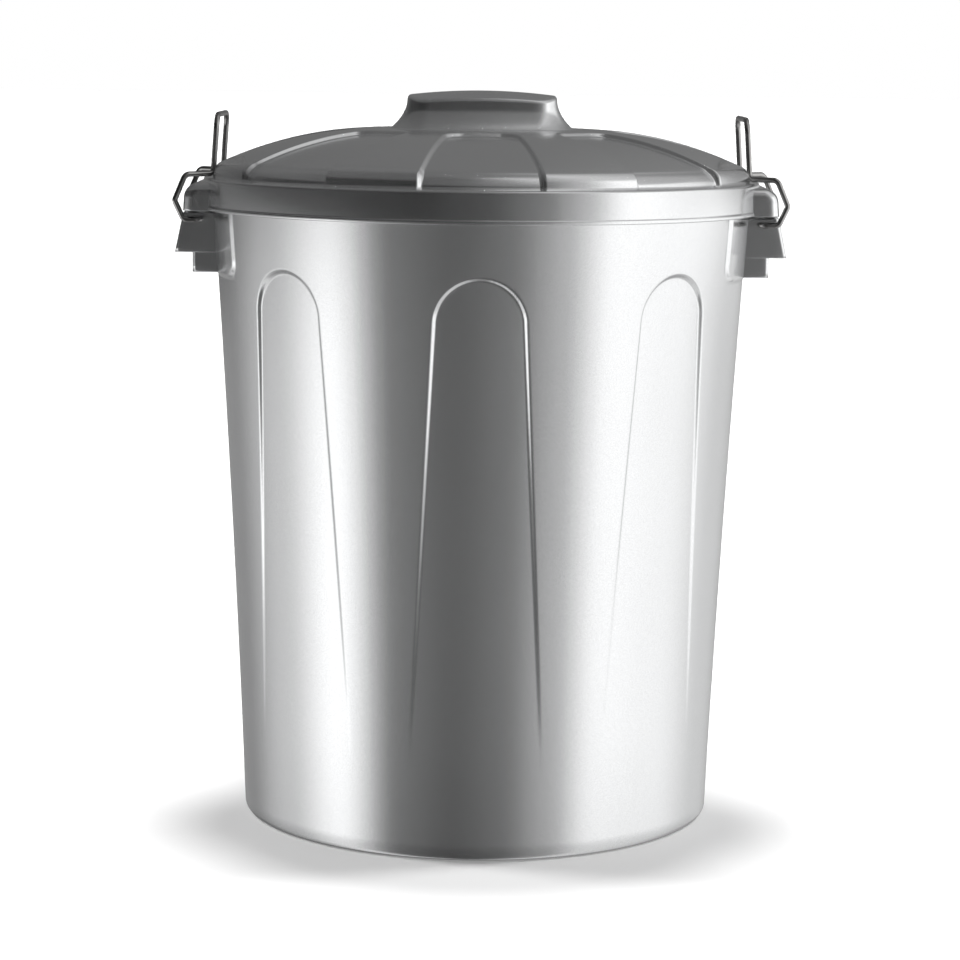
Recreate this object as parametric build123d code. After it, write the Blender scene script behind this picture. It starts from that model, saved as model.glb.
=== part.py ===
from build123d import *

import os
from math import asin, cos, degrees, sin, sqrt

# Round plastic trash can with a domed lid and two wire handles that clip over the lid.
# Millimetres. The origin is the centre of the base, +Z is up, the handles are at +X and -X.

# Tub: the wall leans out from the base to the rim and draws in a little at its waist, halfway up
base_radius = 175.7
rim_wall_radius = 200.2
wall_waist = 1.7
tub_height = 473.4
tub_wall = 2.4
foot_rise = 4.0
foot_ring_width = 11.0
foot_corner = 4.0

# Rolled rim of the tub
rim_overhang = 3.7
rim_lip_height = 10.0
rim_lip_wall = 2.2

# Arched panels pressed into the tub wall, deepest at the arch and fading out below
panel_angles = (-45, 0, 45, 135, 180, 225)
arch_top_height = 416.0
arch_radius = 33.0
panel_fade_height = 75.0
panel_foot_half_width = 47.7
panel_depth = 2.8

# Lugs that carry the wire handles, one on each side, each on a raised pad of the wall
pad_half_width = 87.0
pad_thickness = 1.8
pad_bottom_height = 405.0
pad_corner = 14.0
lug_half_width = 42.0
lug_wall = 2.4
lug_block_beyond_rim = 8.1
lug_block_height = 45.3
lug_corner = 3.0
hood_beyond_block = 6.4
hood_flare = 6.6
hood_drop = 30.8
hood_lip_thickness = 2.0
hood_top_corner = 4.0

# Lid rim and skirt
lid_wall = 2.3
skirt_height = 23.2
skirt_flare = 0.6
rim_edge_radius = 2.0
skirt_bead = 0.9
skirt_bead_height = 3.4

# Lid dome: a flat seat for the knob, a gentle arc, and a steep shoulder above the rim
dome_rise = 37.0
knob_seat_radius = 75.0
dome_arc_radius = 304.0
dome_edge_radius = 191.0
shoulder_radius = 199.9
shoulder_rise = 10.2
shoulder_corner = 5.0
shoulder_foot_radius = 201.6

# Panels pressed into the dome, in line with those of the tub
lid_panel_count = 8
lid_panel_inner_radius = 95.0
lid_panel_outer_radius = 203.0
lid_panel_inner_half_width = 25.0
lid_panel_outer_half_width = 45.0
lid_panel_corner = 12.0
lid_panel_depth = 3.0
shoulder_panel_depth = 3.3

# Knob: a hollow oblong grip whose sides flare out to the dome
knob_height = 28.0
knob_top_half_length = 55.5
knob_top_half_width = 22.5
knob_end_flare = 12.5
knob_side_flare = 10.0
knob_corner = 14.0
knob_ridge_camber = 3.5
knob_cross_camber = 6.0

# Ears of the lid that the handles hook over
ear_half_width = 62.0
ear_beyond_skirt = 9.5
ear_flare = 1.2
ear_drop = 3.0
ear_top_round = 11.0
ear_end_round = 7.0

# Wire handles, with the runs of the hook and legs measured from the hinge
wire_diameter = 4.0
hinge_behind_block = 7.0
hinge_below_skirt = 6.8
hinge_grip_in_lug = 3.6
loop_clear_of_lug = 10.0
hook_lower_run = 12.0
hook_outer_run = 18.5
hook_outer_rise = 14.0
hook_upper_run = 10.5
leg_run = -8.6
leg_half_spacing = 41.0
grip_run = -11.6
grip_rise = 76.0
hinge_bend = 4.0
hook_bend = 4.0
hook_top_bend = 5.0
leg_bend = 4.0
grip_bend = 10.0

# Clearances
lid_on_rim = 0.3
lug_below_skirt = 0.5
wire_in_lug = 0.06
wire_over_lid = 1.0

# Heights and radii worked out from the sizes above
rim_outer_radius = rim_wall_radius + rim_overhang
skirt_inner_radius = rim_outer_radius + lid_on_rim
skirt_radius = skirt_inner_radius + lid_wall
lid_rim_height = tub_height + lid_on_rim + lid_wall
skirt_bottom = lid_rim_height - skirt_height
dome_top = lid_rim_height + dome_rise
ear_top = lid_rim_height - ear_drop
lug_top = skirt_bottom - lug_below_skirt
lug_bottom = lug_top - lug_block_height
lug_block_reach = rim_outer_radius + lug_block_beyond_rim
hood_top_reach = lug_block_reach + hood_beyond_block
hood_lip_reach = hood_top_reach + hood_flare
hood_lip_height = lug_top - hood_drop
ear_reach = skirt_radius + ear_beyond_skirt
hinge_reach = lug_block_reach - hinge_behind_block
hinge_height = skirt_bottom - hinge_below_skirt
wire_radius = wire_diameter / 2
hook_top_height = lid_rim_height + wire_radius + wire_over_lid


def wall_radius(height):
    """Outer radius of the tub wall at a height, straight from the base to the waist and on to the rim."""
    share = height / tub_height
    lean = base_radius + (rim_wall_radius - base_radius) * share
    return lean - wall_waist * (1 - abs(2 * share - 1))


def panel_floor_radius(height):
    """Outer radius of a tub panel's floor, which meets the wall at the fade height."""
    share = (height - panel_fade_height) / (arch_top_height - panel_fade_height)
    return wall_radius(height) - panel_depth * share


def rising_line(radius_at, inset, low, high):
    """Line up the wall between two heights, bent where it passes the waist and drawn in by an inset."""
    waist = tub_height / 2
    heights = (low, waist, high) if low < waist < high else (low, high)
    return Polyline(*[(radius_at(z) - inset, z) for z in heights])


def lathe(outline):
    """Solid of revolution about Z from a closed outline of radii and heights."""
    return revolve(make_face(Plane.XZ * outline), Axis.Z)


def around(solid, angles):
    """Copies of a solid turned about Z."""
    return [solid.rotate(Axis.Z, angle) for angle in angles]


# Tub body and the space inside it

def tub_blank():
    """Outside of the tub, without its panels and lugs."""
    foot_inner = base_radius - foot_ring_width
    low = 5 * foot_corner
    flange_bottom = tub_height - tub_wall
    lip_inner = rim_outer_radius - rim_lip_wall
    lip_bottom = tub_height - rim_lip_height
    base = FilletPolyline(
        (0, foot_rise),
        (foot_inner - foot_rise, foot_rise),
        (foot_inner, 0),
        (base_radius, 0),
        (wall_radius(low), low),
        radius=(2.0, 1.5, foot_corner),
    )
    wall = rising_line(wall_radius, 0, low, flange_bottom)
    rim = FilletPolyline(
        (wall_radius(flange_bottom), flange_bottom),
        (lip_inner, flange_bottom),
        (lip_inner, lip_bottom),
        (rim_outer_radius, lip_bottom),
        (rim_outer_radius, tub_height),
        (0, tub_height),
        radius=(0, 0, 0, rim_edge_radius),
    )
    axis = Line((0, tub_height), (0, foot_rise))
    return lathe(base + wall + rim + axis)


def tub_space():
    """Space inside the tub, up past its rim."""
    foot_inner = base_radius - foot_ring_width
    floor = foot_rise + tub_wall
    low = 5 * foot_corner
    high = tub_height + tub_wall
    inner = base_radius - tub_wall
    base = FilletPolyline(
        (0, floor),
        (foot_inner - foot_rise - tub_wall / 2, floor),
        (foot_inner - tub_wall / 2, tub_wall),
        (inner, tub_wall),
        (wall_radius(low) - tub_wall, low),
        radius=(1.5, 2.0, foot_corner - 1),
    )
    wall = rising_line(wall_radius, tub_wall, low, high)
    top = Polyline((wall_radius(high) - tub_wall, high), (0, high), (0, floor))
    return lathe(base + wall + top)


def tub_panel(inset):
    """What a panel takes off a wall surface that lies an inset inside the outer one."""
    low = panel_fade_height / 2
    high = arch_top_height + 3 * panel_depth
    arch_height = arch_top_height - arch_radius
    radius = arch_radius + inset
    slope = (panel_foot_half_width - arch_radius) / (arch_height - panel_fade_height)
    foot = panel_foot_half_width + inset + slope * (panel_fade_height - low)
    top = arch_height + radius
    sides = Polyline((-radius, arch_height), (-foot, low), (foot, low), (radius, arch_height))
    arch = ThreePointArc((radius, arch_height), (0, top), (-radius, arch_height))
    prism = extrude(make_face(Plane.XZ * (sides + arch)), rim_outer_radius)
    wall = rising_line(panel_floor_radius, inset, low, high)
    bottom = Line((0, low), (panel_floor_radius(low) - inset, low))
    top = Polyline((panel_floor_radius(high) - inset, high), (0, high), (0, low))
    return prism - lathe(bottom + wall + top)


# Lugs and their pads, built at +X

def lug_pad():
    """Raised band of the wall behind a lug, up to behind the lid's skirt."""
    low = pad_bottom_height - pad_corner
    high = skirt_bottom + tub_wall
    inner = wall_radius(low) - tub_wall / 2
    wall = rising_line(wall_radius, -pad_thickness, low, high)
    back = Polyline(wall @ 1, (inner, high), (inner, low), wall @ 0)
    window = FilletPolyline(
        (-pad_half_width, high + pad_corner),
        (-pad_half_width, pad_bottom_height),
        (pad_half_width, pad_bottom_height),
        (pad_half_width, high + pad_corner),
        radius=(0, pad_corner, pad_corner, 0),
        close=True,
    )
    return lathe(wall + back) & extrude(Plane.YZ * make_face(window), rim_outer_radius)


def lug():
    """Hood that flares down and out over a hollow block, open below and sunk into the wall."""
    root = sqrt(wall_radius(lug_bottom) ** 2 - lug_half_width**2) - tub_wall / 2
    side = FilletPolyline(
        (root, lug_top),
        (hood_top_reach, lug_top),
        (hood_lip_reach, hood_lip_height),
        (hood_lip_reach - hood_lip_thickness, hood_lip_height - hood_lip_thickness / 2),
        (lug_block_reach, hood_lip_height),
        (lug_block_reach, lug_bottom),
        (root, lug_bottom),
        radius=(0, hood_top_corner, 0, 0, 0, 0, 0),
        close=True,
    )
    body = extrude(Plane.XZ * make_face(side), lug_half_width, both=True)
    ends = body.faces().filter_by(Axis.Y).edges()
    outer = ends.filter_by(lambda e: e.center().X > hinge_reach)
    corners = outer.filter_by(lambda e: abs((e % 0.5).Z) > 0.9)
    body = fillet(corners, lug_corner)
    ceiling = lug_top - lug_wall
    hood_pocket = Polyline(
        (lug_block_reach, lug_bottom),
        (lug_block_reach, ceiling),
        (hood_top_reach - lug_wall, ceiling),
        (hood_lip_reach - lug_wall, hood_lip_height),
        (hood_lip_reach - lug_wall, lug_bottom),
        close=True,
    )
    block_pocket = Polyline(
        (root - tub_wall, lug_bottom),
        (root - tub_wall, ceiling),
        (lug_block_reach - lug_wall, ceiling),
        (lug_block_reach - lug_wall, lug_bottom),
        close=True,
    )
    inside = lug_half_width - lug_wall
    for outline in (hood_pocket, block_pocket):
        body -= extrude(Plane.XZ * make_face(outline), inside, both=True)
    hinge = Pos(hinge_reach, 0, hinge_height) * Rot(X=90)
    return body - hinge * Cylinder(wire_radius + wire_in_lug, 2 * lug_half_width + 1)


def make_tub():
    """Tub with its panels, rolled rim, pads and lugs."""
    body = tub_blank()
    body -= around(tub_panel(0), panel_angles)
    for angle in (0, 180):
        body += [lug_pad().rotate(Axis.Z, angle), lug().rotate(Axis.Z, angle)]
    space = tub_space() - around(tub_panel(tub_wall), panel_angles)
    return body - space


# Lid

def dome_arc(inset):
    """Arc of the dome from the knob's seat to its edge."""
    centre = Vector(knob_seat_radius, dome_top - dome_arc_radius)
    full = asin((dome_edge_radius - knob_seat_radius) / dome_arc_radius)
    radius = dome_arc_radius - inset
    turns = (0, full / 2, full)
    return ThreePointArc(
        *[(centre.X + radius * sin(turn), centre.Y + radius * cos(turn)) for turn in turns]
    )


def dome_line(inset, shoulder_inset):
    """Dome and shoulder from the knob's seat down to the lid's rim."""
    dome = dome_arc(inset)
    edge = dome @ 1
    shoulder = FilletPolyline(
        (edge.X, edge.Y),
        (shoulder_radius - shoulder_inset, lid_rim_height + shoulder_rise - inset),
        (shoulder_foot_radius - shoulder_inset, lid_rim_height - inset),
        radius=shoulder_corner,
    )
    seat = Line((0, dome_top - inset), (knob_seat_radius, dome_top - inset))
    return seat + dome + shoulder


def lid_blank():
    """Outside of the lid's dome, rim and skirt."""
    bead_inner = skirt_radius + skirt_flare
    rim = FilletPolyline(
        (shoulder_foot_radius, lid_rim_height),
        (skirt_radius, lid_rim_height),
        (bead_inner, skirt_bottom + skirt_bead_height),
        (bead_inner + skirt_bead, skirt_bottom + skirt_bead_height - skirt_bead),
        (bead_inner + skirt_bead, skirt_bottom),
        (0, skirt_bottom),
        radius=(rim_edge_radius, 0, 0.6, 0.8),
    )
    axis = Line((0, skirt_bottom), (0, dome_top))
    return lathe(dome_line(0, 0) + rim + axis)


def lid_space():
    """Space under the dome and inside the skirt."""
    low = skirt_bottom - lid_wall
    rim = Polyline(
        (shoulder_foot_radius - lid_wall, lid_rim_height - lid_wall),
        (skirt_inner_radius, lid_rim_height - lid_wall),
        (skirt_inner_radius, low),
        (0, low),
        (0, dome_top - lid_wall),
    )
    return lathe(dome_line(lid_wall, lid_wall) + rim)


def lid_panel(inset):
    """What a panel takes off a dome surface that lies an inset below the outer one."""
    inner = lid_panel_inner_radius - inset
    slope = (lid_panel_outer_half_width - lid_panel_inner_half_width) / (
        lid_panel_outer_radius - lid_panel_inner_radius
    )
    narrow = lid_panel_inner_half_width + inset * (1 - slope)
    wide = lid_panel_outer_half_width + inset
    outer = lid_panel_outer_radius
    corner = lid_panel_corner
    plan = FilletPolyline(
        (-wide, -outer),
        (-narrow, -inner),
        (narrow, -inner),
        (wide, -outer),
        radius=(0, corner, corner, 0),
        close=True,
    )
    low = lid_rim_height - inset
    prism = extrude(Plane.XY.offset(low) * make_face(plan), dome_rise + inset)
    below = Polyline(
        (shoulder_foot_radius - shoulder_panel_depth - inset, low - lid_panel_depth),
        (0, low - lid_panel_depth),
        (0, dome_top - lid_panel_depth - inset),
    )
    floor = dome_line(lid_panel_depth + inset, shoulder_panel_depth + inset)
    return prism - lathe(floor + below)


def knob_section(share, inset):
    """Level outline of the knob at a share of its height, straight past both ends."""
    flare = (1 - min(max(share, 0), 1)) ** 2
    length = knob_top_half_length + knob_end_flare * flare - inset
    width = knob_top_half_width + knob_side_flare * flare - inset
    height = dome_top + share * knob_height
    return Plane.XY.offset(height) * RectangleRounded(2 * length, 2 * width, knob_corner - inset)


def knob_crown(inset):
    """Everything below the cambered top of the knob."""
    ridge_radius = camber_radius(knob_top_half_length, knob_ridge_camber)
    cross_radius = camber_radius(knob_top_half_width, knob_cross_camber) - inset
    top = dome_top + knob_height - inset
    half = 0.9 * cross_radius
    edge = top - cross_radius + sqrt(cross_radius**2 - half**2)
    low = dome_top - 2 * knob_height
    arc = ThreePointArc((-half, edge), (0, top), (half, edge))
    sides = Polyline((half, edge), (half, low), (-half, low), (-half, edge))
    pivot = Axis((0, 0, top - ridge_radius + inset), (0, 1, 0))
    sweep_angle = 2.4 * degrees(asin((knob_top_half_length + knob_end_flare) / ridge_radius))
    crown = revolve(make_face(Plane.YZ * (arc + sides)), pivot, sweep_angle)
    return crown.rotate(pivot, -sweep_angle / 2)


def camber_radius(half_span, rise):
    """Radius of an arc that rises by so much over twice the half span."""
    return (half_span**2 + rise**2) / (2 * rise)


def knob_body(inset):
    """Knob, or with an inset of one wall the space inside it."""
    shares = (-0.2, 0, 0.25, 0.5, 0.75, 1, 1.1)
    return loft([knob_section(share, inset) for share in shares]) & knob_crown(inset)


def ear(inset):
    """Ear at +X with a rounded top edge, or with an inset the space inside it, sunk into the skirt."""
    low = skirt_bottom - inset
    half = ear_half_width - inset
    root = sqrt(skirt_inner_radius**2 - ear_half_width**2)
    side = FilletPolyline(
        (root, ear_top - inset),
        (ear_reach - inset, ear_top - inset),
        (ear_reach + ear_flare - inset, low),
        (root, low),
        radius=(0, ear_top_round - inset, 0, 0),
        close=True,
    )
    body = extrude(Plane.XZ * make_face(side), half, both=True)
    ends = body.faces().filter_by(Axis.Y).edges()
    outer = ends.filter_by(lambda e: e.center().X > root + 1 and e.center().Z > low + 0.1)
    return fillet(outer, ear_end_round - inset)


def make_lid():
    """Domed lid with its panels, ears and knob."""
    angles = [i * 360 / lid_panel_count for i in range(lid_panel_count)]
    body = lid_blank() - around(lid_panel(0), angles)
    space = lid_space() - around(lid_panel(lid_wall), angles)
    for angle in (0, 180):
        body += ear(0).rotate(Axis.Z, angle)
        space += ear(lid_wall).rotate(Axis.Z, angle)
    return body + knob_body(0) - space - knob_body(lid_wall)


# Wire handles, built at +X

def make_handle():
    """One bent wire: two ends in the lug, a hook on each side, two legs and a grip."""
    loop_half = lug_half_width + loop_clear_of_lug + wire_radius
    tip_half = lug_half_width - lug_wall - hinge_grip_in_lug
    half = [
        (0, tip_half, hinge_height),
        (0, loop_half, hinge_height),
        (hook_lower_run, loop_half, hinge_height),
        (hook_outer_run, loop_half, hinge_height + hook_outer_rise),
        (hook_upper_run, loop_half, hook_top_height),
        (leg_run, leg_half_spacing, hook_top_height),
        (grip_run, leg_half_spacing, hinge_height + grip_rise),
    ]
    bends = [hinge_bend, hinge_bend, hook_bend, hook_top_bend, leg_bend, grip_bend]
    other = [(x, -y, z) for x, y, z in reversed(half)]
    path = FilletPolyline(*half, *other, radius=bends + bends[::-1])
    start = Plane(path @ 0, z_dir=path % 0)
    print("wire length", round(path.length, 1))
    return Pos(hinge_reach, 0, 0) * sweep(start * Circle(wire_radius), path=path)


os.makedirs("parts", exist_ok=True)
handle = make_handle()
parts = {
    "tub": make_tub(),
    "lid": make_lid(),
    "handle_right": handle,
    "handle_left": handle.rotate(Axis.Z, 180),
}
for name, shape in parts.items():
    export_step(shape, f"parts/{name}.step")
    print(name, "solids", len(shape.solids()), "volume", round(shape.volume))
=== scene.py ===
from math import asin, atan, atan2, cos, degrees, hypot, pi, radians, sin, sqrt, tan

import bmesh
import bpy
from mathutils import Matrix


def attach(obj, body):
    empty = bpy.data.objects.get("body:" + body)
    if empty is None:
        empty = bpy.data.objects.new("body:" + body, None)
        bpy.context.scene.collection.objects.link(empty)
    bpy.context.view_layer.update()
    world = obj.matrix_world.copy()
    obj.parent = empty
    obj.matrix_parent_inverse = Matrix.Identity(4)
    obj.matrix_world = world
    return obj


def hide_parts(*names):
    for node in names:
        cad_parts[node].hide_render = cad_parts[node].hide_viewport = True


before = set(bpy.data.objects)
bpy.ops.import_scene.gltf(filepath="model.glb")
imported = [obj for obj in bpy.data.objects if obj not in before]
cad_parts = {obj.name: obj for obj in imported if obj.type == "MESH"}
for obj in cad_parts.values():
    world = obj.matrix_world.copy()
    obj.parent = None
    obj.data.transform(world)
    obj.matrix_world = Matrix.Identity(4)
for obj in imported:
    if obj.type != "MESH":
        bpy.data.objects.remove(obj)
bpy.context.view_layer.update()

# Photographer's view: a long lens 2.2 m in front of the bin, a little above the lid, looking
# down by about 8 degrees and level to within a degree.
lens = bpy.data.cameras.new("view")
lens.sensor_width = 36
lens.lens = 109.5
look_down = 8.274
roll = 0.627
lens_place = (0.0013, -2.1885, 0.5668)
view = bpy.data.objects.new("view", lens)
bpy.context.scene.collection.objects.link(view)
turned = Matrix.Rotation(radians(90 - look_down), 4, "X") @ Matrix.Rotation(radians(roll), 4, "Z")
view.matrix_world = Matrix.Translation(lens_place) @ turned
bpy.context.scene.camera = view
bpy.context.scene.view_settings.view_transform = "Standard"


# White studio: a plain white floor that runs to the horizon and a white background.
# The floor keeps the soft shadow under the bin.
class Shade:
    """A socket of a material's node tree, so that shader maths reads as plain expressions."""

    def __init__(self, tree, socket=None):
        self.tree = tree
        self.socket = socket

    def node(self, kind, settings, values, out=0):
        """Adds a node, sets it, fills its sockets and gives back one of its outputs."""
        made = self.tree.nodes.new("ShaderNode" + kind)
        for name, value in settings.items():
            if name == "stops":
                ramp = made.color_ramp
                while len(ramp.elements) < len(value):
                    ramp.elements.new(0.5)
                for element, (place, tone) in zip(ramp.elements, value):
                    element.position = place
                    element.color = (tone, tone, tone, 1)
            elif name == "blending":
                made.color_ramp.interpolation = value
            else:
                setattr(made, name, value)
        for name, value in values.items():
            if isinstance(value, Shade):
                self.tree.links.new(value.socket, made.inputs[name])
            else:
                made.inputs[name].default_value = value
        return Shade(self.tree, made.outputs[out]) if made.outputs else made

    def maths(self, operation, first, second):
        return self.node("Math", {"operation": operation}, {0: first, 1: second})

    def __add__(self, other):
        return self.maths("ADD", self, other)

    def __mul__(self, other):
        return self.maths("MULTIPLY", self, other)

    __radd__ = __add__
    __rmul__ = __mul__


def new_material(name):
    """A material with an empty node tree, and the tree's Shade."""
    material = bpy.data.materials.new(name)
    material.use_nodes = True
    material.node_tree.nodes.clear()
    return material, Shade(material.node_tree)


def place(name, bm, material):
    """Turns a bmesh into a smooth object of the scene with a material."""
    mesh = bpy.data.meshes.new(name)
    bm.to_mesh(mesh)
    bm.free()
    mesh.shade_smooth()
    mesh.materials.append(material)
    piece = bpy.data.objects.new(name, mesh)
    bpy.context.scene.collection.objects.link(piece)
    return piece


def seen_by_lens(shade):
    """1 for what the camera, a reflection or a see-through part shows, and 0 for other light."""
    rays = ("Is Camera Ray", "Is Glossy Ray", "Is Transmission Ray")
    camera, glossy, through = (shade.node("LightPath", {}, {}, ray) for ray in rays)
    return camera + glossy + through


floor_glow = 0.14
floor_reach = 40
floor_white, shade = new_material("floor_white")
matt = shade.node("BsdfDiffuse", {}, {"Color": (0.8, 0.8, 0.8, 1)})
lift = seen_by_lens(shade) * floor_glow
white = shade.node("VectorMath", {"operation": "SCALE"}, {0: (1, 1, 1), "Scale": lift})
glow = shade.node("Emission", {}, {"Color": white})
shade.node("OutputMaterial", {}, {"Surface": shade.node("AddShader", {}, {0: matt, 1: glow})})
bm = bmesh.new()
bmesh.ops.create_grid(bm, x_segments=1, y_segments=1, size=floor_reach)
floor = place("floor", bm, floor_white)
floor.visible_glossy = False

room_light = 0.2
world = bpy.data.worlds.new("studio")
world.use_nodes = True
world.node_tree.nodes.clear()
bpy.context.scene.world = world
shade = Shade(world.node_tree)
level = seen_by_lens(shade) * (1 - room_light) + room_light
sky = shade.node("Background", {}, {"Color": (1, 1, 1, 1), "Strength": level})
shade.node("OutputWorld", {}, {"Surface": sky})

# Three soft lights overhead, a little behind the bin, so that its shadow falls to the front.
# The middle one is the strongest, and one on each side lights the floor under the lid's edge.
soft_edge = 11
from_behind = 9
for name, energy, aside in (("overhead", 2.3, 0), ("overhead_left", 1.3, -34), ("overhead_right", 1.3, 34)):
    light = bpy.data.lights.new(name, "SUN")
    light.energy = energy
    light.angle = radians(soft_edge)
    lamp = bpy.data.objects.new(name, light)
    lamp.rotation_euler = (radians(-from_behind), radians(aside), 0)
    lamp.visible_glossy = False
    bpy.context.scene.collection.objects.link(lamp)

# Painted reflections: a glowing ball of painted studio cards round the bin that only its gloss sees.
# A wide soft white card is painted on the right, a low one on the left, and the rest is dark grey.
painted_reflection_reach = 3.0
painted_reflection_tone, shade = new_material("painted_reflection_tone")
spot = shade.node("TexCoord", {}, {}, "Object")
right, back, height = (shade.node("SeparateXYZ", {}, {0: spot}, axis) for axis in "XYZ")
bearing = shade.maths("ARCTAN2", right, back * -1) * (0.5 / pi) + 0.5


def around(stops):
    """Painted reflection tone by bearing: degrees to the right of the camera and the tone there."""
    places = [((degree + 180) / 360, tone) for degree, tone in stops]
    return shade.node("ValToRGB", {"stops": places, "blending": "EASE"}, {"Fac": bearing})


def rise(low, high):
    """0 below one height in metres and 1 above another, with a soft change between."""
    return shade.node(
        "MapRange", {"interpolation_type": "SMOOTHSTEP"},
        {"Value": height, "From Min": low, "From Max": high},
    )


def stack(low, high, lower, upper):
    """One ring of painted reflection tones on another, joined softly between two heights."""
    return shade.node("Mix", {"data_type": "RGBA"}, {0: rise(low, high), 6: lower, 7: upper}, 2)


tone = around([
    (-180, 0.2), (-140, 0.18), (-100, 0.46), (-66, 0.98), (-38, 0.13), (-10, 0.075),
    (12, 0.12), (35, 0.34), (57, 0.87), (92, 0.78), (135, 0.46), (180, 0.2),
])
tone = stack(-0.05, 0.2, tone, around([
    (-180, 0.12), (-140, 0.09), (-90, 0.21), (-62, 0.15), (-40, 0.06), (-18, 0.03), (2, 0.045),
    (22, 0.13), (38, 0.4), (54, 0.88), (105, 0.88), (140, 0.5), (180, 0.12),
]))
tone = stack(0.45, 0.75, tone, around([
    (-180, 0.09), (-150, 0.07), (-90, 0.018), (-25, 0.012), (0, 0.035), (25, 0.12),
    (42, 0.34), (60, 0.9), (100, 0.7), (135, 0.2), (155, 0.13), (180, 0.09),
]))
tone = stack(1.75, 2.1, tone, around([
    (-180, 0.09), (-90, 0.06), (-15, 0.06), (15, 0.15), (60, 0.45), (120, 0.3), (155, 0.13), (180, 0.09),
]))
# The ball glows with these painted reflection tones, stronger above a height; it is no lamp and lights
# nothing.
strength = 1.0 + 0.7 * rise(-1.2, -0.8)
tone = shade.node("VectorMath", {"operation": "SCALE"}, {0: tone, "Scale": strength})
shade.node("OutputMaterial", {}, {"Surface": shade.node("Emission", {}, {"Color": tone})})
bm = bmesh.new()
bmesh.ops.create_uvsphere(bm, u_segments=64, v_segments=32, radius=painted_reflection_reach)
painted_reflections = place("painted_reflection_cards", bm, painted_reflection_tone)
for light_kind in ("camera", "diffuse", "transmission", "volume_scatter", "shadow"):
    setattr(painted_reflections, "visible_" + light_kind, False)

# Tub: injection moulded polypropylene with metal pigment in it, so it is silver all through.
# The wall leans out to a rolled rim, and six arched panels are pressed into it that fade out
# towards the foot. A raised pad on each side carries the lug.
tub_height = 0.4734
tub_wall = 0.0024
foot_radius = 0.1757
foot_ring_width = 0.011
foot_rise = 0.004
foot_corner = 0.004
foot_top = 0.02
wall_lean = 0.0245
wall_waist = 0.0017
rim_overhang = 0.0037
rim_lip_height = 0.010
rim_lip_wall = 0.0022
rim_round = 0.002
rim_foot = 0.462
tub_panels = (45, 90, 135, 225, 270, 315)
arch_top = 0.416
arch_radius = 0.033
arch_middle = arch_top - arch_radius
arch_rows = (0.372, 0.421)
fade_height = 0.075
foot_half_width = 0.0477
panel_depth = 0.0028
panel_step = 0.003
step_outside = 0.0004
pad_half_width = 0.087
pad_bottom = 0.405
pad_corner = 0.014
pad_thickness = 0.0018
floor_part = 0.15

silver, shade = new_material("silver_plastic")
spot = shade.node("TexCoord", {}, {}, "Object")
flakes = shade.node("TexNoise", {}, {"Vector": spot, "Scale": 1000.0, "Detail": 1.0})
clouds = shade.node("TexNoise", {}, {"Vector": spot, "Scale": 9.0, "Detail": 3.0})
grain = shade.node("TexNoise", {}, {"Vector": spot, "Scale": 900.0, "Detail": 2.0, "Roughness": 0.6})
flow = shade.node("TexNoise", {}, {"Vector": spot, "Scale": 55.0, "Detail": 2.0})
brightness = 0.88 + 0.18 * flakes + 0.06 * clouds
pigment = shade.node("VectorMath", {"operation": "SCALE"}, {0: (0.70, 0.705, 0.71), "Scale": brightness})
relief = shade.node("Bump", {}, {"Height": grain + 0.2 * flow, "Strength": 0.2, "Distance": 0.00004})
skin = shade.node("BsdfPrincipled", {}, {
    "Base Color": pigment, "Metallic": 0.95, "Roughness": 0.17 + 0.04 * clouds + 0.04 * grain,
    "Normal": relief,
})
shade.node("OutputMaterial", {}, {"Surface": skin})


def lathe(corners, spacing, steps):
    """A shell spun about Z from an outline of (radius, height, rounding) corners."""
    bm = bmesh.new()
    points = [bm.verts.new((radius, 0, height)) for radius, height, _ in corners]
    for pair in zip(points, points[1:]):
        bm.edges.new(pair)
    for point, (_, _, rounding) in zip(points, corners):
        if rounding:
            bmesh.ops.bevel(bm, geom=[point], offset=rounding, affect="VERTICES",
                            segments=4, profile=0.5, material=-1)
    for edge in list(bm.edges):
        middle = (edge.verts[0].co + edge.verts[1].co) / 2
        cuts = int(edge.calc_length() / spacing(middle.x, middle.z))
        if cuts:
            bmesh.ops.subdivide_edges(bm, edges=[edge], cuts=cuts)
    bmesh.ops.spin(bm, geom=bm.verts[:] + bm.edges[:], cent=(0, 0, 0), axis=(0, 0, 1),
                   angle=2 * pi, steps=steps, use_merge=True)
    bmesh.ops.remove_doubles(bm, verts=bm.verts, dist=1e-6)
    bmesh.ops.recalc_face_normals(bm, faces=bm.faces)
    return bm


def soft_step(value, low, high):
    """0 below low, 1 above high and a smooth change between."""
    share = min(max((value - low) / (high - low), 0), 1)
    return share * share * (3 - 2 * share)


def wall_radius(height):
    """Outer radius of the tub's wall."""
    share = height / tub_height
    return foot_radius + wall_lean * share - wall_waist * 4 * share * (1 - share)


def panel_half_width(height):
    """Half width of a tub panel below its arch."""
    straight = max(arch_middle - height, 0)
    return arch_radius + straight * (foot_half_width - arch_radius) / (arch_middle - fade_height)


def pressed(away, radius, height):
    """How far a tub panel is pressed in, at an angle away from its middle."""
    across = abs(radius * sin(away))
    edge = panel_half_width(height) - across
    if height > arch_middle:
        edge = arch_radius - hypot(across, height - arch_middle)
    share = min(max((height - fade_height) / (arch_top - fade_height), 0), 1)
    return panel_depth * share * soft_step(edge, -step_outside, panel_step - step_outside)


def raised(side, radius, height):
    """How far the pad behind a lug stands out, at an angle away from its side."""
    across = abs(radius * sin(side)) - (pad_half_width - pad_corner)
    down = pad_bottom + pad_corner - height
    edge = pad_corner - hypot(max(across, 0), max(down, 0)) - min(max(across, down), 0)
    return pad_thickness * soft_step(edge, 0, pad_thickness)


def fan(stops):
    """Angles that run out from 0 with a spacing of their own in each stretch."""
    angles = [0.0]
    for end, step in stops:
        while angles[-1] < end - step / 2:
            angles.append(angles[-1] + step)
        angles[-1] = end
    return angles


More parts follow.
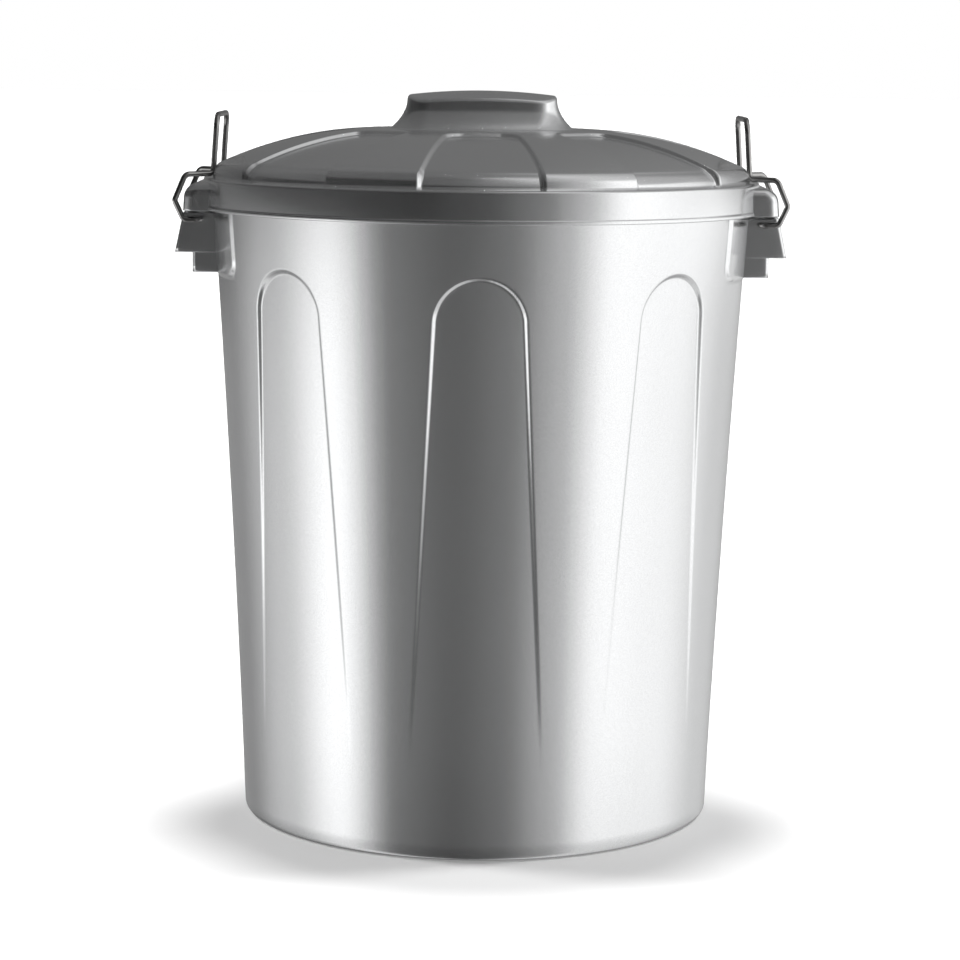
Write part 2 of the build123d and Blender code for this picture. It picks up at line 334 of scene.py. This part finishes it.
half_sector = 22.5
half = fan([(8, 0.4), (11.5, 0.25), (18, 1.3), (20, 0.33), (half_sector, 1.25)])
columns = []
for middle in tub_panels:
    columns += [(middle, side * angle) for angle in half for side in (-1, 1)]
for middle in (0, 180):
    columns += [(middle, side * angle) for angle in fan([(half_sector, 1.5)])[:-1] for side in (-1, 1)]
kept = []
for column in sorted(set(columns), key=lambda column: (sum(column) % 360, column)):
    if not kept or (sum(column) - sum(kept[-1])) % 360 > 0.01:
        kept.append(column)
columns = kept


def tub_spacing(radius, height):
    """How far apart the rows of the tub's wall stand: close at the arches, wide elsewhere."""
    outside = radius > wall_radius(height) - tub_wall / 2
    if radius < floor_part:
        return 0.04
    if arch_rows[0] < height < arch_rows[1]:
        return 0.0011 if outside else 0.006
    return 0.012 if outside else 0.025


def line_up(bm, columns, panels, edge, still, surface):
    """Moves the spun columns to their angles, along the panels' slanting edges, and in or out."""
    for point in bm.verts:
        radius = hypot(point.co.x, point.co.y)
        if radius < 1e-5:
            continue
        turned = atan2(point.co.y, point.co.x) / (2 * pi) * len(columns)
        middle, away = columns[round(turned) % len(columns)]
        height = point.co.z
        if middle in panels:
            near = min(abs(away) / still[0], 1) * min((half_sector - abs(away)) / (half_sector - still[1]), 1)
            away += (1 if away > 0 else -1) * edge(radius, height) * near
        angle = radians(middle + away)
        radius, height = surface(middle, radians(away), radius, height)
        point.co = (radius * cos(angle), radius * sin(angle), height)


def tub_edge(radius, height):
    """Degrees that a panel's edge lies beyond its place at the arch."""
    width = panel_half_width(max(height, fade_height))
    return degrees(asin(width / wall_radius(height)) - asin(arch_radius / wall_radius(arch_middle)))


def tub_surface(middle, away, radius, height):
    """Where a point of the tub's shell goes once the panels and pads are in it."""
    if height < foot_top or height > rim_foot or radius < floor_part:
        return radius, height
    outside = radius > wall_radius(height) - tub_wall / 2
    radius = wall_radius(height)
    if middle in tub_panels:
        radius -= pressed(away, radius, height)
    if outside:
        return radius + raised(radians(middle) + away, radius, height), height
    return radius - tub_wall, height


rim = foot_radius + wall_lean + rim_overhang
rim_inner = rim - rim_lip_wall
rim_under = tub_height - tub_wall
lip_bottom = tub_height - rim_lip_height
foot_inner = foot_radius - foot_ring_width
floor_edge = foot_inner - foot_rise
rows = (foot_top, *arch_rows, rim_foot)
bm = lathe([
    (0, foot_rise, 0), (floor_edge, foot_rise, 0.002), (foot_inner, 0, 0.0015), (foot_radius, 0, foot_corner),
    *[(wall_radius(height), height, 0) for height in rows],
    (wall_radius(rim_under), rim_under, 0), (rim_inner, rim_under, 0), (rim_inner, lip_bottom, 0),
    (rim, lip_bottom, 0), (rim, tub_height, rim_round),
    (wall_radius(tub_height) - tub_wall, tub_height, 0.0015),
    *[(wall_radius(height) - tub_wall, height, 0) for height in reversed(rows)],
    (foot_radius - tub_wall, tub_wall, 0.003), (foot_inner - tub_wall / 2, tub_wall, 0.002),
    (floor_edge - tub_wall / 2, foot_rise + tub_wall, 0.0015), (0, foot_rise + tub_wall, 0),
], tub_spacing, len(columns))
line_up(bm, columns, tub_panels, tub_edge, (8, 11.5), tub_surface)
tub = place("tub_shell", bm, silver)
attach(tub, "tub")
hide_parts("tub")


# Side lugs: on each pad a flared hood over a hollow block, moulded in one with the tub and
# open below and to the wall. The wire ends of the handles turn in holes of their sides.
least_round = 0.0003
top_part = 0.3
front_part = 0.7
end_part = 0.5
side_part = 0.75


def cap(root, front_top, front_bottom, half_width, bottom, top, brow, cheek, wall):
    """A hollow box without back and floor, its top front edge and its two ends rounded."""
    flare = (front_bottom - front_top) / (top - bottom)
    lean = sqrt(1 + flare**2)
    bend = pi / 2 - atan(flare)

    def outline(share, inset):
        """Point of the section from the back of the top down to the bottom of the front."""
        rounding = max(brow - inset, least_round)
        start = front_top + (flare - lean) * inset - rounding * tan(bend / 2)
        turned = bend * min(max((share - top_part) / (front_part - top_part), 0), 1)
        x = start + rounding * sin(turned)
        z = top - inset - rounding * (1 - cos(turned))
        if share < top_part:
            x = root + (start - root) * share / top_part
        if share > front_part:
            down = (share - front_part) / (1 - front_part)
            x += (front_bottom - inset * lean - x) * down
            z += (bottom - z) * down
        return x, z

    bm = bmesh.new()
    for skin in (0, wall):
        made = bmesh.ops.create_grid(bm, x_segments=30, y_segments=64, size=1)
        rounding = max(cheek - skin, least_round)
        straight = half_width - skin - rounding
        for point in made["verts"]:
            share, aside = (point.co.x + 1) / 2, abs(point.co.y)
            side = 1 if point.co.y > 0 else -1
            turned = pi / 2 * min(max((aside - end_part) / (side_part - end_part), 0), 1)
            x, z = outline(share, skin + rounding * (1 - cos(turned)))
            closing = max((aside - side_part) / (1 - side_part), 0)
            x += (root - x) * closing
            z += (bottom - z) * closing
            y = straight * min(aside / end_part, 1) + rounding * sin(turned)
            point.co = (x, side * y, z)
    bmesh.ops.remove_doubles(bm, verts=bm.verts, dist=1e-6)
    bmesh.ops.bridge_loops(bm, edges=[edge for edge in bm.edges if edge.is_boundary])
    bmesh.ops.recalc_face_normals(bm, faces=bm.faces)
    return bm


def both_sides(bm):
    """Adds a copy of a piece, turned half round Z."""
    made = bmesh.ops.duplicate(bm, geom=bm.verts[:] + bm.edges[:] + bm.faces[:])
    points = [item for item in made["geom"] if isinstance(item, bmesh.types.BMVert)]
    bmesh.ops.rotate(bm, verts=points, cent=(0, 0, 0), matrix=Matrix.Rotation(pi, 3, "Z"))
    return bm


lug_half_width = 0.042
lug_wall = 0.0022
block_inside_hood = 0.0002
hoods = cap(root=0.1915, front_top=0.2184, front_bottom=0.2250, half_width=lug_half_width, bottom=0.4215,
            top=0.4523, brow=0.004, cheek=0.003, wall=lug_wall)
blocks = cap(root=0.1901, front_top=0.2120, front_bottom=0.2120, bottom=0.4070, top=0.4510,
             half_width=lug_half_width - block_inside_hood, brow=0.003, cheek=0.003, wall=lug_wall)
for name, bm in (("lug_hoods", hoods), ("lug_blocks", blocks)):
    piece = place(name, both_sides(bm), silver)
    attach(piece, "tub")
    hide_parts("tub")

# Lid: moulded of the same plastic and hung loose over the rim. Eight panels are pressed into
# its dome and run out over the steep shoulder to the flat of the rim. Its skirt ends in a bead.
lid_wall = 0.0023
dome_top = 0.513
seat_radius = 0.075
dome_radius = 0.304
dome_rings = (0.084, 0.093, 0.111, 0.126, 0.141, 0.156, 0.170, 0.184)
dome_reach = 0.1905
dome_edge = (0.191, 0.4899)
shoulder = (0.1999, 0.4862)
shoulder_round = 0.005
shoulder_foot = 0.2016
rim_height = 0.476
skirt_top = 0.2065
skirt_foot = (0.2071, 0.4562)
bead_radius = 0.2079
bead_top = 0.4553
skirt_bottom = 0.4528
skirt_inner = 0.2042
lid_panels = tuple(range(0, 360, 45))
lid_panel_inner = 0.095
lid_panel_half_width = 0.025
lid_panel_slope = 0.185
lid_panel_lean = sqrt(1 + lid_panel_slope**2)
lid_panel_corner = 0.012
lid_panel_depth = 0.003
shoulder_panel_depth = 0.0033
lid_step = 0.003
mean_edge = 13.5
hair = 0.00005


def dome_height(radius):
    """Height of the dome above the knob's seat and its arc."""
    out = max(radius - seat_radius, 0)
    return dome_top - dome_radius + sqrt(dome_radius**2 - out**2)


def inside_lid_panel(along, across):
    """How far a point of the dome lies inside a lid panel's edge."""
    ahead = along - lid_panel_inner
    aside = (lid_panel_half_width + lid_panel_slope * ahead - abs(across)) / lid_panel_lean
    if ahead < lid_panel_corner and aside < lid_panel_corner:
        return lid_panel_corner - hypot(lid_panel_corner - ahead, lid_panel_corner - aside)
    return min(ahead, aside)


def lid_edge(radius, height):
    """Degrees that a lid panel's edge lies beyond its mean place."""
    middle_width = lid_panel_half_width - lid_panel_slope * lid_panel_inner
    out = max(radius, lid_panel_inner) * lid_panel_lean
    return degrees(atan(lid_panel_slope) + asin(middle_width / out)) - mean_edge


def on_top(radius, height):
    """Whether a point of the dome belongs to its upper skin."""
    return height > dome_height(radius) - lid_wall / 2


def lid_surface(middle, away, radius, height):
    """Where a point of the lid's shell goes once the panels are in it."""
    if height < rim_height - lid_wall - step_outside or radius > shoulder_foot + hair:
        return radius, height
    if radius < dome_reach:
        height = dome_height(radius) - (0 if on_top(radius, height) else lid_wall)
    inside = inside_lid_panel(radius * cos(away), radius * sin(away))
    sunk = soft_step(inside, -step_outside, lid_step - step_outside)
    height -= lid_panel_depth * sunk * soft_step(height, rim_height + 0.001, rim_height + 0.009)
    radius -= shoulder_panel_depth * sunk * soft_step(radius, 0.186, 0.1985)
    return radius, height


def lid_spacing(radius, height):
    """How far apart the rings of the lid stand: close at the panels' ends, wide elsewhere."""
    over = on_top(radius, height)
    if dome_rings[1] < radius < dome_rings[2]:
        return 0.0012 if over else 0.004
    if dome_rings[-1] < radius < shoulder_foot:
        return 0.0014 if over else 0.004
    return 0.007 if over else 0.02


half = fan([(6, 1.5), (11, 0.5), (16.5, 0.25), (half_sector, 1.5)])
columns = []
for middle in lid_panels:
    columns += [(middle, angle) for angle in [-angle for angle in half[-2:0:-1]] + half]
columns = sorted(columns, key=lambda column: sum(column) % 360)
bm = lathe([
    (0, dome_top, 0), (seat_radius, dome_top, 0),
    *[(radius, dome_height(radius), 0) for radius in dome_rings],
    (*dome_edge, 0.002), (*shoulder, shoulder_round), (shoulder_foot, rim_height, 0),
    (skirt_top, rim_height, rim_round), (*skirt_foot, 0.0005), (bead_radius, bead_top, 0.0006),
    (bead_radius, skirt_bottom, 0.0008), (skirt_inner, skirt_bottom, 0.0005),
    (skirt_inner, rim_height - lid_wall, 0), (shoulder_foot - lid_wall, rim_height - lid_wall, 0),
    (shoulder[0] - lid_wall, shoulder[1] - lid_wall, 0.003),
    (dome_edge[0] - 0.001, dome_edge[1] - 0.0019, 0),
    *[(radius, dome_height(radius) - lid_wall, 0) for radius in reversed(dome_rings)],
    (seat_radius, dome_top - lid_wall, 0), (0, dome_top - lid_wall, 0),
], lid_spacing, len(columns))
line_up(bm, columns, lid_panels, lid_edge, (11, 16.5), lid_surface)
lid = place("lid_shell", bm, silver)
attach(lid, "lid")
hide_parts("lid")

# Ears: two bulges of the lid's skirt, moulded in one with it and open below, that the wire
# handles hook over. Their top front edge is well rounded, so that the wire rides up on it.
bm = cap(root=0.1946, front_top=0.2160, front_bottom=0.2172, half_width=0.062, bottom=skirt_bottom,
         top=0.473, brow=0.011, cheek=0.007, wall=lid_wall)
ears = place("lid_ears", both_sides(bm), silver)
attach(ears, "lid")
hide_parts("lid")

# Knob: an oblong grip moulded in one with the lid. Its sides flare out to the dome, and its
# top is cambered both ways and has a small round edge.
knob_height = 0.028
knob_length = 0.0555
knob_width = 0.0225
knob_corner = 0.014
knob_edge = 0.0022
knob_bow = 0.0016
knob_flare = 0.010
flare_at_ends = 1.25
knob_root = 0.05
ridge_camber = 0.0035
cross_camber = 0.006
crown_part = 0.5
edge_part = 2 / 3


def oblong(along, across, grown):
    """Point of the knob's outline that a point on the edge of a unit square goes to."""
    ends = (knob_length + grown * flare_at_ends, knob_width + grown - knob_bow * along**2)
    rounding = knob_corner + grown
    spot = [along * ends[0], across * ends[1]]
    past = [abs(spot[side]) - (ends[side] - rounding) for side in (0, 1)]
    if min(past) > 0:
        for side in (0, 1):
            bent = ends[side] - rounding + past[side] * rounding / hypot(*past)
            spot[side] = bent if spot[side] > 0 else -bent
    return spot


bm = bmesh.new()
bmesh.ops.create_grid(bm, x_segments=48, y_segments=48, size=1)
for point in bm.verts:
    ring = max(abs(point.co.x), abs(point.co.y), 1e-9)
    turned = pi / 2 * min(max((ring - crown_part) / (edge_part - crown_part), 0), 1)
    share = 1 - max((ring - edge_part) / (1 - edge_part), 0) * (1 + knob_root)
    grown = knob_flare * (1 - share) ** 2 - knob_edge * (1 - sin(turned))
    x, y = oblong(point.co.x / ring, point.co.y / ring, grown)
    x *= min(ring / crown_part, 1)
    y *= min(ring / crown_part, 1)
    drop = ridge_camber * (x / knob_length) ** 2 + cross_camber * (y / knob_width) ** 2
    crown = knob_height - min(drop, 0.008) - knob_edge * (1 - cos(turned))
    point.co = (x, y, dome_top + crown * share)
bm.normal_update()
if sum(face.normal.z for face in bm.faces) < 0:
    bmesh.ops.reverse_faces(bm, faces=bm.faces)
knob = place("lid_knob", bm, silver)
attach(knob, "lid")
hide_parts("lid")

# Handles: each one bent from a single steel wire of 4 mm and plated, as the CAD has it, with
# its two ends sprung into the lug.
plated, shade = new_material("plated_wire")
spot = shade.node("TexCoord", {}, {}, "Object")
drawn = shade.node("TexNoise", {}, {"Vector": spot, "Scale": 700.0, "Detail": 2.0})
cloud = shade.node("TexNoise", {}, {"Vector": spot, "Scale": 60.0, "Detail": 2.0})
tint = shade.node("VectorMath", {"operation": "SCALE"}, {0: (0.37, 0.365, 0.36), "Scale": 0.9 + 0.2 * cloud})
relief = shade.node("Bump", {}, {"Height": drawn, "Strength": 0.2, "Distance": 0.00004})
skin = shade.node("BsdfPrincipled", {}, {
    "Base Color": tint, "Metallic": 1.0, "Roughness": 0.16 + 0.12 * cloud, "Normal": relief,
})
shade.node("OutputMaterial", {}, {"Surface": skin})
for name in ("handle_left", "handle_right"):
    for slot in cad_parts[name].material_slots:
        slot.material = plated
